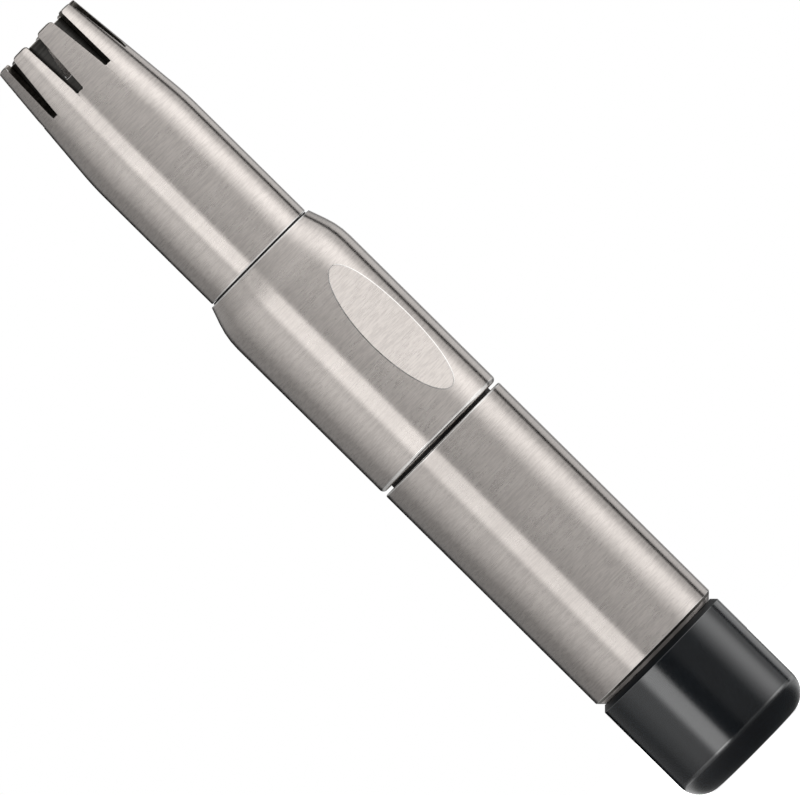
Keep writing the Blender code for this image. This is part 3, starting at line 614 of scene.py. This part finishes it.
def casing_outline():
    """The casing's outline with extra rows along the thumb rest, as (r, z, finish, on the wall)."""
    edge_z = CASING_TOP_Z - EDGE_BREAK_LENGTH
    corners = [
        (CASING_BORE_R, CASING_TOP_Z - SPIGOT_SEAT_DEPTH, 0, PLAIN),
        (SPIGOT_SEAT_R, CASING_TOP_Z - SPIGOT_SEAT_DEPTH, 0, PLAIN),
        (SPIGOT_SEAT_R, CASING_TOP_Z, 0, PLAIN),
        (SHOULDER_TOP_R, CASING_TOP_Z, 0, POLISHED),
        (shoulder_r(edge_z), edge_z, 0, PLAIN),
        (BODY_R, SHOULDER_Z, SHOULDER_ROUND, PLAIN),
        (BODY_R, CASING_BASE_Z, CASING_LOWER_ROUND, PLAIN),
        (SLEEVE_BORE_R, CASING_BASE_Z, 0, PLAIN),
        (SLEEVE_BORE_R, CASING_BASE_Z + CASING_LIP_DEPTH, 0, PLAIN),
        (CASING_BORE_R, CASING_BASE_Z + CASING_LIP_DEPTH, 0, PLAIN),
    ]
    rows = []
    for r, z, finish in rounded(corners):
        rows.append((r, z, finish, False))
        wall_starts = abs(r - BODY_R) < MERGE_DISTANCE and z > THUMB_Z
        if wall_starts:
            for step in range(THUMB_ROWS + 1):
                turn = math.pi * (0.5 - step / THUMB_ROWS)
                rows.append((BODY_R, THUMB_Z + THUMB_HALF_LENGTH * math.sin(turn), PLAIN, True))
    return rows


def thumb_edges(shape):
    """The edges where the thumb rest meets the round wall."""
    found = []
    for edge in shape.edges:
        ends = [vertex.co for vertex in edge.verts]
        on_edge = all(
            abs(math.hypot(p.x, p.y) - BODY_R) < MERGE_DISTANCE
            and abs(thumb_y(p.z) + p.y) < MERGE_DISTANCE
            and abs(p.z - THUMB_Z) <= THUMB_HALF_LENGTH + MERGE_DISTANCE
            for p in ends
        )
        if on_edge and abs(ends[0].z - ends[1].z) > MERGE_DISTANCE:
            found.append(edge)
    return found


def exact_normals(piece):
    """Gives the casing's wall and thumb rest the normals of the true cylinders."""
    mesh = piece.data
    normals = [normal.vector.copy() for normal in mesh.corner_normals]
    for face in mesh.polygons:
        for loop in face.loop_indices:
            point = mesh.vertices[mesh.loops[loop].vertex_index].co
            radial = Vector((point.x, point.y, 0.0)).normalized()
            behind = THUMB_CUTTER_R + BODY_R - THUMB_DEPTH
            across = Vector((0.0, -(point.y + behind), THUMB_Z - point.z)).normalized()
            in_rest = face.material_index == REST
            near_wall = abs(math.hypot(point.x, point.y) - BODY_R) < 4 * MERGE_DISTANCE
            if in_rest:
                normals[loop] = -across if across.y > 0 else across
            elif near_wall and face.normal.dot(radial) > WALL_FACING and face.material_index == PLAIN:
                normals[loop] = radial
    mesh.normals_split_custom_set(normals)


def add_casing():
    shape = bmesh.new()
    rows = casing_outline()
    rings = [casing_row(shape, r, z, on_wall) for r, z, finish, on_wall in rows]
    rings.append(rings[0])
    skin(shape, rings, [finish for r, z, finish, on_wall in rows])
    bmesh.ops.remove_doubles(shape, verts=shape.verts, dist=MERGE_DISTANCE)
    for face in shape.faces:
        middle = face.calc_center_median()
        below_wall = math.hypot(middle.x, middle.y) < BODY_R - ON_REST
        if below_wall and abs(-middle.y - thumb_y(middle.z)) < ON_REST and middle.y < 0:
            face.material_index = REST
    bmesh.ops.bevel(
        shape,
        geom=thumb_edges(shape),
        offset=THUMB_EDGE,
        segments=2,
        profile=0.5,
        affect="EDGES",
        material=POLISHED,
    )
    # The wall and the thumb rest take the grip's steel in lighter tones, as painted light.
    materials = ["brushed_steel_painted_lighter", "polished_edge", "brushed_steel_painted_lightest"]
    piece = to_object("casing_shell", shape, materials)
    exact_normals(piece)
    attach(piece, "casing")
    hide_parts("upper_casing")


# ---------------------------------------------------------------- slotted tubes


def corner_steps(rounding, steps):
    """(distance from the side, drop below the end) along a quarter circle."""
    turns = [math.pi / 2 * step / steps for step in range(steps + 1)]
    return [(rounding * (1 - math.cos(a)), rounding * (1 - math.sin(a))) for a in turns]


def round_drop(distance, rounding):
    """How far a rounded end lies below its flat part, at a distance from its side."""
    if distance >= rounding:
        return 0.0
    return rounding - math.sqrt(rounding**2 - (rounding - distance) ** 2)


# Columns of points across a slot's flat bottom and across a tooth, and the rows up a tooth's end.
SLOT_SHARES = (0.35, 0.5, 0.65)
SLOT_CORNER_STEPS = 3
TOOTH_CORNER_STEPS = 6
TOOTH_COLUMNS = 14
TOOTH_END_SHARES = (0.35, 0.6, 0.78, 0.9, 1.0)
TOOTH_END_LENGTH = 1.6 * TOOTH_ROUND
# DARK_END_ROWS rows at each tooth's top, and the upright side faces (normal's Z below LEVEL_NORMAL), take
# painted shade.
DARK_END_ROWS = 2
LEVEL_NORMAL = 0.5


class SlottedTube:
    """A thin tube with slots open at its top, laid out as columns and rows.

    slots, depth, width_at and angle_at describe the slots; outer and inner give radii by height.
    """

    def __init__(self, base_z, top_z, slots, depth, width_at, angle_at, outer, inner, levels):
        self.base_z = base_z
        self.top_z = top_z
        self.slots = slots
        self.slot_z = top_z - depth
        self.width_at = width_at
        self.angle_at = angle_at
        self.outer = outer
        self.inner = inner
        self.levels = levels
        self.columns = self.lay_columns()

    def lay_columns(self):
        """(slot number, kind, distance): kind "slot" counts from its left side, "tooth" likewise."""
        slot_half = [d for d, drop in corner_steps(SLOT_CORNER_ROUND, SLOT_CORNER_STEPS)]
        tooth_half = [d for d, drop in corner_steps(TOOTH_ROUND, TOOTH_CORNER_STEPS)]
        columns = []
        for slot in range(self.slots):
            for d in slot_half:
                columns.append((slot, "slot_left", d))
            for share in SLOT_SHARES:
                columns.append((slot, "slot_share", share))
            for d in reversed(slot_half[1:]):
                columns.append((slot, "slot_right", d))
            for d in tooth_half:
                columns.append((slot, "tooth_left", d))
            for step in range(1, TOOTH_COLUMNS):
                columns.append((slot, "tooth_share", step / TOOTH_COLUMNS))
            for d in reversed(tooth_half[1:]):
                columns.append((slot, "tooth_right", d))
        return columns

    def angle(self, column, z, r):
        """Where a column lies round the axis, at a height and a radius."""
        slot, kind, amount = column
        at_z = max(z, self.slot_z)
        half = math.asin(self.width_at(at_z) / 2 / r)
        middle = 2 * math.pi * slot / self.slots + self.angle_at(at_z)
        after = middle + 2 * math.pi / self.slots
        left = middle - half
        right = middle + half
        if kind == "slot_left":
            return left + amount / r
        if kind == "slot_right":
            return right - amount / r
        if kind == "slot_share":
            return left + (right - left) * amount
        tooth_end = after - half
        if kind == "tooth_left":
            return right + amount / r
        if kind == "tooth_right":
            return tooth_end - amount / r
        inset = TOOTH_ROUND / r
        return right + inset + (tooth_end - right - 2 * inset) * amount

    def end_drop(self, column):
        """How far the rounded top of a tooth lies below the tip, at a column."""
        slot, kind, amount = column
        if kind in ("tooth_left", "tooth_right"):
            return round_drop(amount, TOOTH_ROUND)
        if kind == "slot_left" or (kind == "slot_right" and amount == 0):
            return TOOTH_ROUND
        return 0.0

    def heights(self, column):
        """The heights of a column's points, from the base up."""
        slot, kind, amount = column
        below = [z for z in self.levels if z < self.slot_z - SLOT_CORNER_ROUND]
        shared = self.slot_z + SLOT_CORNER_ROUND
        if kind in ("slot_left", "slot_right", "slot_share"):
            drop = 0.0 if kind == "slot_share" else round_drop(amount, SLOT_CORNER_ROUND)
            return below + [self.slot_z + drop]
        top = self.top_z - self.end_drop(column)
        last = self.top_z - TOOTH_END_LENGTH
        between = [z for z in self.levels if shared < z < last]
        end = [last + (top - last) * share for share in TOOTH_END_SHARES]
        return below + [shared] + between + [last] + end

    def build(self, name, materials, edge_width):
        shape = bmesh.new()
        count = len(self.columns)
        outer = []
        inner = []
        for column in self.columns:
            heights = self.heights(column)
            outer.append([self.point(shape, column, z, self.outer) for z in heights])
            inner.append([self.point(shape, column, z, self.inner) for z in heights])
        pairs = {}
        for out_points, in_points in zip(outer, inner):
            pairs.update(zip(out_points, in_points))
        walls = []
        for index in range(count):
            here = outer[index]
            there = outer[(index + 1) % count]
            rows = min(len(here), len(there)) - 1
            for row in range(rows):
                corners = (here[row], there[row], there[row + 1], here[row + 1])
                walls.append(shape.faces.new(corners))
                # The top rows of each tooth's outer wall take painted shade, a dark rim along the tip.
                if row >= rows - DARK_END_ROWS and self.columns[index][1].startswith("tooth"):
                    walls[-1].material_index = DARK
        for wall in walls:
            corners = [pairs[vertex] for vertex in reversed(wall.verts)]
            shape.faces.new(corners)
        open_edges = [e for e in shape.edges if e.is_boundary and e.verts[0] in pairs]
        for edge in open_edges:
            loop = edge.link_loops[0]
            start = loop.vert
            end = loop.link_loop_next.vert
            side = shape.faces.new((end, start, pairs[start], pairs[end]))
            side.normal_update()
            # Upright side faces, the slot walls among them, take painted shade.
            if abs(side.normal.z) < LEVEL_NORMAL:
                side.material_index = DARK
        for face in shape.faces:
            if face.calc_center_median().z < self.base_z + EDGE_BREAK_LENGTH:
                face.material_index = POLISHED
        bmesh.ops.bevel(
            shape,
            geom=open_edges,
            offset=edge_width,
            segments=2,
            profile=0.5,
            affect="EDGES",
            material=POLISHED,
            clamp_overlap=False,
        )
        piece = to_object(name, shape, materials)
        even_shading(piece)
        return piece

    def point(self, shape, column, z, radius_at):
        r = radius_at(z)
        return shape.verts.new(at(r, self.angle(column, z, r), z))


def spread(low, high, count):
    return [low + (high - low) * step / count for step in range(count + 1)]


# ---------------------------------------------------------------- head and rotor

TIP_RIM_ROUND = 0.14 * MM
TAPER_BLEND = 1.2 * MM
SLOT_EDGE = 0.035 * MM


def cone_r(z):
    """The head's plain outer radius: straight, then tapering, with the corner eased."""
    over = z - TAPER_Z
    if abs(over) < TAPER_BLEND:
        return HEAD_R - TAPER_SLOPE * (over + TAPER_BLEND) ** 2 / (4 * TAPER_BLEND)
    return HEAD_R - TAPER_SLOPE * max(0.0, over)


def head_outer_r(z):
    r = cone_r(z)
    r -= EDGE_BREAK_DEPTH * max(0.0, 1 - (z - HEAD_BASE_Z) / EDGE_BREAK_LENGTH)
    return r - round_drop(TIP_Z - z, TIP_RIM_ROUND)


def head_inner_r(z):
    return min(HEAD_BORE_R, TIP_R - HEAD_WALL + TAPER_SLOPE * (TIP_Z - z))


def head_slot_width(z):
    share = (TIP_Z - z) / HEAD_SLOT_DEPTH
    return HEAD_SLOT_TOP_WIDTH + (HEAD_SLOT_BOTTOM_WIDTH - HEAD_SLOT_TOP_WIDTH) * share


def add_cutter_head():
    levels = [HEAD_BASE_Z, HEAD_BASE_Z + EDGE_BREAK_LENGTH, HEAD_BASE_Z + 2 * EDGE_BREAK_LENGTH]
    levels += spread(HEAD_BASE_Z + 1 * MM, TAPER_Z - TAPER_BLEND, 4)
    levels += spread(TAPER_Z - 0.8 * TAPER_BLEND, TAPER_Z + TAPER_BLEND, 9)
    seat_z = TIP_Z - (HEAD_BORE_R - TIP_R + HEAD_WALL) / TAPER_SLOPE
    levels += [seat_z, seat_z + 1 * MM]
    levels += spread(seat_z + 2 * MM, TIP_Z, 14)
    tube = SlottedTube(
        HEAD_BASE_Z,
        TIP_Z,
        HEAD_SLOTS,
        HEAD_SLOT_DEPTH,
        head_slot_width,
        lambda z: 0.0,
        head_outer_r,
        head_inner_r,
        sorted(levels),
    )
    # The head takes the grip's steel in a lighter tone, as painted light.
    piece = tube.build("head_shell", ["brushed_steel_painted_lighter", "polished_edge", "painted_shade_steel"], SLOT_EDGE)
    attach(piece, "cutter_head")
    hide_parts("cutter_head")


def rotor_outer_r(z):
    mouth_r = TIP_R - HEAD_WALL - ROTOR_CLEARANCE + TAPER_SLOPE * (TIP_Z - z)
    return min(ROTOR_R, mouth_r)


def rotor_slot_angle(z):
    """The skew that leads each rotor slot round the axis as it goes down."""
    lead = (z - ROTOR_TOP_Z) * math.tan(ROTOR_SLOT_SKEW) / rotor_outer_r(z)
    return ROTOR_SLOT_START + lead


def add_rotor_blade():
    levels = spread(ROTOR_BASE_Z, ROTOR_TOP_Z, 26)
    tube = SlottedTube(
        ROTOR_BASE_Z,
        ROTOR_TOP_Z,
        ROTOR_SLOTS,
        ROTOR_SLOT_DEPTH,
        lambda z: ROTOR_SLOT_WIDTH,
        rotor_slot_angle,
        rotor_outer_r,
        lambda z: rotor_outer_r(z) - ROTOR_WALL,
        levels,
    )
    piece = tube.build("rotor_shell", ["blade_steel", "polished_edge", "painted_shade_steel"], SLOT_EDGE)
    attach(piece, "rotor")
    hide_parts("rotor_blade")


# ---------------------------------------------------------------- plug, spigot and seals

MOULDED_ROUND = 0.08 * MM
SEAL_POINTS = 28


def lathed(name, node, body, corners, slot):
    """A turned piece in one finish that replaces a CAD node. corners are (r, z, rounding)."""
    piece = turned(name, [(*corner, PLAIN) for corner in corners], [slot])
    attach(piece, body)
    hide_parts(node)


def add_tail_plug():
    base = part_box("tail_plug")[0].z
    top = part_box("tail_plug")[1].z
    corners = [
        (PLUG_HOLE_R, top, 0),
        (PLUG_BARREL_R, top, MOULDED_ROUND),
        (PLUG_BARREL_R, PLUG_SHOULDER_Z, MOULDED_ROUND),
        (PLUG_SPIGOT_R, PLUG_SHOULDER_Z, 0),
        (PLUG_SPIGOT_R, CAP_GROOVE_TOP_Z, MOULDED_ROUND),
        (CAP_GROOVE_R, CAP_GROOVE_TOP_Z, 0),
        (CAP_GROOVE_R, CAP_GROOVE_Z, 0),
        (PLUG_SPIGOT_R, CAP_GROOVE_Z, MOULDED_ROUND),
        (PLUG_SPIGOT_R, base, PLUG_LEAD_ROUND),
        (PLUG_COUNTERBORE_R, base, MOULDED_ROUND),
        (PLUG_COUNTERBORE_R, base + PLUG_COUNTERBORE_DEPTH, 0),
        (PLUG_HOLE_R, base + PLUG_COUNTERBORE_DEPTH, 0),
    ]
    lathed("plug_moulding", "tail_plug", "twist_grip", corners, "black_nylon")


def add_head_spigot():
    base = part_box("head_spigot")[0].z
    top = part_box("head_spigot")[1].z
    flange_base = CASING_TOP_Z - SPIGOT_SEAT_DEPTH + SPIGOT_FIT
    corners = [
        (SPIGOT_BORE_R, top, MOULDED_ROUND),
        (SPIGOT_R, top, SPIGOT_LEAD_ROUND),
        (SPIGOT_R, HEAD_GROOVE_TOP_Z, MOULDED_ROUND),
        (HEAD_GROOVE_R, HEAD_GROOVE_TOP_Z, 0),
        (HEAD_GROOVE_R, HEAD_GROOVE_Z, 0),
        (SPIGOT_R, HEAD_GROOVE_Z, MOULDED_ROUND),
        (SPIGOT_R, SPIGOT_SHOULDER_Z, 0),
        (SPIGOT_FLANGE_R, SPIGOT_SHOULDER_Z, 0),
        (SPIGOT_FLANGE_R, flange_base, 0),
        (SPIGOT_BARREL_R, flange_base, 0),
        (SPIGOT_BARREL_R, base, MOULDED_ROUND),
        (SPIGOT_BORE_R, base, 0),
    ]
    lathed("spigot_moulding", "head_spigot", "casing", corners, "black_nylon")


def seal_outline(groove_r, bore_r, z):
    """The round section of a seal that fills a groove, as turning corners."""
    middle = (groove_r + bore_r) / 2
    section = (bore_r - groove_r) / 2 - SEAL_FIT
    turns = [math.pi / 2 - 2 * math.pi * step / SEAL_POINTS for step in range(SEAL_POINTS)]
    return [(middle + section * math.cos(a), z + section * math.sin(a), 0) for a in turns]


def add_seals():
    cap_z = (CAP_GROOVE_Z + CAP_GROOVE_TOP_Z) / 2
    head_z = (HEAD_GROOVE_Z + HEAD_GROOVE_TOP_Z) / 2
    cap_seal = seal_outline(CAP_GROOVE_R, CAP_BORE_R, cap_z)
    head_seal = seal_outline(HEAD_GROOVE_R, HEAD_BORE_R, head_z)
    lathed("cap_seal", "cap_o_ring", "twist_grip", cap_seal, "black_rubber")
    lathed("head_seal", "head_o_ring", "casing", head_seal, "black_rubber")


def add_spring_seat():
    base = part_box("spring_seat")[0].z
    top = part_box("spring_seat")[1].z
    corners = [
        (SPRING_SEAT_BORE_R, top, 0),
        (SPRING_SEAT_R, top, FINE_ROUND),
        (SPRING_SEAT_R, base, FINE_ROUND),
        (SPRING_SEAT_BORE_R, base, 0),
    ]
    lathed("spring_washer", "spring_seat", "twist_grip", corners, "bright_steel")


# ---------------------------------------------------------------- kept CAD nodes

NODE_MATERIALS = {
    "grip_core": "aluminium",
    "drive_shaft": "bright_steel",
    "grip_set_screw": "blade_steel",
    "retaining_clip": "blade_steel",
    "shim_washer": "bright_steel",
    "tail_screw": "bright_steel",
    "drive_pin": "bright_steel",
    "rotor_spring": "bright_steel",
    "rotor_hub": "bronze",
    "head_key_pin": "bright_steel",
    "front_bushing": "bronze",
    "rear_bushing": "white_acetal",
    "thrust_washer": "black_nylon",
}


def dress_nodes():
    """Gives the CAD nodes that stay their materials."""
    for name, material in NODE_MATERIALS.items():
        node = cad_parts[name]
        for slot in node.material_slots:
            slot.material = MATERIALS[material]


# ---------------------------------------------------------------- studio


def add_camera():
    right = TO_RIGHT * math.cos(VIEW_ROLL) + Vector((0, 0, math.sin(VIEW_ROLL)))
    up = Vector((0, 0, math.cos(VIEW_ROLL))) - TO_RIGHT * math.sin(VIEW_ROLL)
    target = (BASE + TOP) / 2 + right * AIM_RIGHT + up * AIM_UP
    data = bpy.data.cameras.new("camera")
    data.lens = VIEW_LENS
    data.sensor_width = VIEW_SENSOR
    data.clip_start = 0.1
    data.clip_end = 10
    camera = bpy.data.objects.new("camera", data)
    camera.matrix_world = matrix_of(right, up, TO_CAMERA, target + TO_CAMERA * VIEW_DISTANCE)
    bpy.context.scene.collection.objects.link(camera)
    bpy.context.scene.camera = camera


def matrix_of(x_axis, y_axis, z_axis, origin):
    matrix = Matrix.Identity(4)
    for row in range(3):
        matrix[row] = (x_axis[row], y_axis[row], z_axis[row], origin[row])
    return matrix


def lit_from(wiring, azimuth, lights):
    """The brightness that a list of upright lights sends from an azimuth."""
    total = 0.0
    for middle, half, soft_left, soft_right, brightness in lights:
        away = wiring.math("WRAP", wiring.math("SUBTRACT", azimuth, middle), 180.0, -180.0)
        rise = wiring.span(away, -half - soft_left / 2, -half + soft_left / 2)
        fall = wiring.span(away, half - soft_right / 2, half + soft_right / 2, 1.0, 0.0)
        light = wiring.math("MULTIPLY", wiring.math("MULTIPLY", rise, fall), brightness)
        total = wiring.math("ADD", total, light)
    return total


def studio_light(wiring):
    """The brightness of the studio in each direction."""
    direction = wiring.node("ShaderNodeTexCoord").outputs["Generated"]
    ahead = wiring.vector("DOT_PRODUCT", direction, TO_CAMERA)
    aside = wiring.vector("DOT_PRODUCT", direction, TO_RIGHT)
    above = wiring.vector("DOT_PRODUCT", direction, (0.0, 0.0, 1.0))
    turn = wiring.math("ARCTAN2", aside, wiring.math("ADD", ahead, 1.0))
    azimuth = wiring.math("MULTIPLY", wiring.math("DEGREES", turn), 2.0)
    elevation = wiring.math("DEGREES", wiring.math("ARCSINE", above))
    off = wiring.math("ABSOLUTE", elevation)
    level = wiring.span(off, PANEL_FULL_ELEVATION, PANEL_END_ELEVATION, 1.0, 0.0)
    panels = wiring.math("MULTIPLY", lit_from(wiring, azimuth, PANELS), level)
    tent = wiring.math("MULTIPLY", lit_from(wiring, azimuth, TENT), wiring.math("SUBTRACT", 1.0, level))
    sloped = wiring.math("SUBTRACT", elevation, wiring.math("MULTIPLY", azimuth, TENT_TOP_SLOPE))
    below_top = wiring.span(sloped, *TENT_TOP, 1.0, TENT_TOP_LEFT_OVER)
    above_bottom = wiring.span(elevation, *TENT_BOTTOM, TENT_BOTTOM_LEFT_OVER, 1.0)
    tent = wiring.math("MULTIPLY", wiring.math("MULTIPLY", tent, below_top), above_bottom)
    return wiring.math("ADD", panels, tent)


def add_world():
    world = bpy.data.worlds.new("studio")
    world.use_nodes = True
    bpy.context.scene.world = world
    wiring = Wiring(world.node_tree)
    background = world.node_tree.nodes["Background"]
    seen = wiring.node("ShaderNodeLightPath").outputs["Is Camera Ray"]
    light = studio_light(wiring)
    to_white = wiring.math("MULTIPLY", wiring.math("SUBTRACT", 1.0, light), seen)
    wiring.feed(background.inputs["Strength"], wiring.math("ADD", light, to_white))
    background.inputs["Color"].default_value = (1.0, 1.0, 1.0, 1.0)


FLOOR_HALF = 0.26
FLOOR_GLOW = 0.9
OVERHEAD_SIZE = 0.9
OVERHEAD_POWER = 6.0
OVERHEAD_Z = 0.8

# The card's brightness goes from left to right across the first span, and is raised behind.
CARD_R = 19.5 * MM
CARD_GREY_ACROSS = (-14 * MM, 1 * MM)
CARD_GREY = (0.28, 0.07)
CARD_BACK_TOWARDS = (-4 * MM, 2.5 * MM)
CARD_BACK = 0.6


def add_floor():
    shape = bmesh.new()
    bmesh.ops.create_grid(shape, x_segments=8, y_segments=8, size=FLOOR_HALF)
    mesh = bpy.data.meshes.new("floor")
    shape.to_mesh(mesh)
    shape.free()
    material, wiring, shader, place = new_material("floor_paper")
    grain = wiring.noise(place, (0.8 * MM, 0.8 * MM, 0.8 * MM), 3.0, 0.6)
    colour = wiring.mix(wiring.span(grain, 0.3, 0.7), (0.90, 0.90, 0.90), (0.93, 0.93, 0.93))
    wiring.feed(shader.inputs["Base Color"], colour)
    shader.inputs["Emission Color"].default_value = (1.0, 1.0, 1.0, 1.0)
    settle(shader, Roughness=0.9, Emission_Strength=FLOOR_GLOW)
    mesh.materials.append(material)
    floor = bpy.data.objects.new("floor", mesh)
    floor.location.z = -0.02 * MM
    floor.visible_glossy = False
    bpy.context.scene.collection.objects.link(floor)


def add_card():
    """A dark card on the floor round the cap's foot. Only reflections show it; the camera doesn't."""
    shape = bmesh.new()
    bmesh.ops.create_circle(shape, cap_ends=True, radius=CARD_R, segments=64)
    mesh = bpy.data.meshes.new("card")
    shape.to_mesh(mesh)
    shape.free()
    material, wiring, shader, place = new_material("card_paper")
    across = wiring.vector("DOT_PRODUCT", place, TO_RIGHT)
    towards = wiring.vector("DOT_PRODUCT", place, TO_CAMERA)
    level = wiring.span(across, *CARD_GREY_ACROSS, *CARD_GREY)
    level = wiring.math("ADD", level, wiring.span(towards, *CARD_BACK_TOWARDS, CARD_BACK, 0.0))
    wiring.feed(shader.inputs["Base Color"], (0.0, 0.0, 0.0, 1.0))
    wiring.feed(shader.inputs["Emission Strength"], level)
    wiring.feed(shader.inputs["Emission Color"], (1.0, 1.0, 1.0, 1.0))
    settle(shader, Roughness=1.0)
    mesh.materials.append(material)
    card = bpy.data.objects.new("card", mesh)
    card.location.z = -0.01 * MM
    card.visible_camera = False
    card.visible_diffuse = False
    card.visible_shadow = False
    bpy.context.scene.collection.objects.link(card)


def add_overhead_light():
    data = bpy.data.lights.new("overhead", "AREA")
    data.shape = "DISK"
    data.size = OVERHEAD_SIZE
    data.energy = OVERHEAD_POWER
    light = bpy.data.objects.new("overhead", data)
    light.location = (0.0, 0.0, OVERHEAD_Z)
    light.visible_camera = False
    light.visible_glossy = False
    bpy.context.scene.collection.objects.link(light)


add_cap()
add_sleeve()
add_casing()
add_cutter_head()
add_rotor_blade()
add_tail_plug()
add_head_spigot()
add_seals()
add_spring_seat()
dress_nodes()
add_camera()
add_world()
add_floor()
add_card()
add_overhead_light()
bpy.context.scene.view_settings.view_transform = "Standard"
